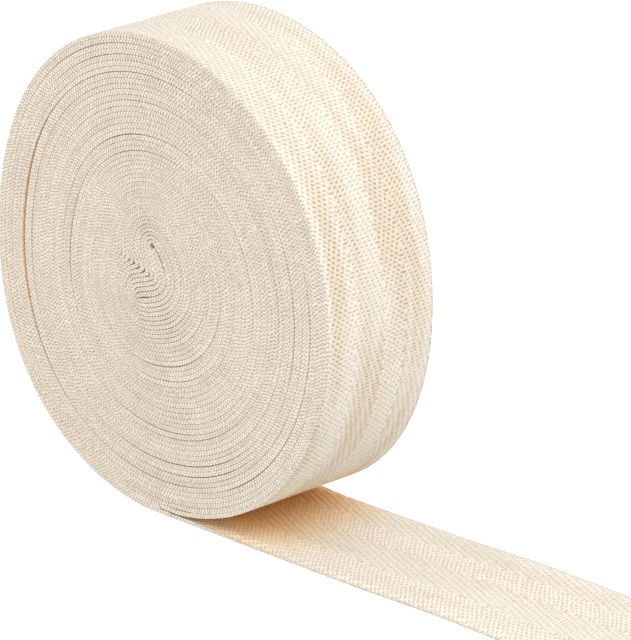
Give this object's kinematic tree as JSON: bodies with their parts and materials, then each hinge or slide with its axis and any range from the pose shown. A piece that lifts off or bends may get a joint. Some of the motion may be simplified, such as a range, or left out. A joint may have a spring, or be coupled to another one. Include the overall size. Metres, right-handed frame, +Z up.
{
  "type": "roll of herringbone twill tape",
  "caption": "Cotton herringbone twill tape wound into a flat coreless roll that stands on its edge, with its loose end drawn out along the surface.",
  "frame": {"origin": "on the small flat that the roll rests on, under the roll's axis and midway across the tape", "axes": "+Z up; Y along the roll's axis, with one face of the winding towards -Y; +X the way the loose end runs"},
  "size_m": [0.1992, 0.0413, 0.1231],
  "materials": {
    "cotton_tape": "matt natural cotton in a herringbone twill weave"
  },
  "bodies": {
    "root": {"wound_roll": "cotton_tape", "loose_end": "cotton_tape"}
  },
  "joints": []
}
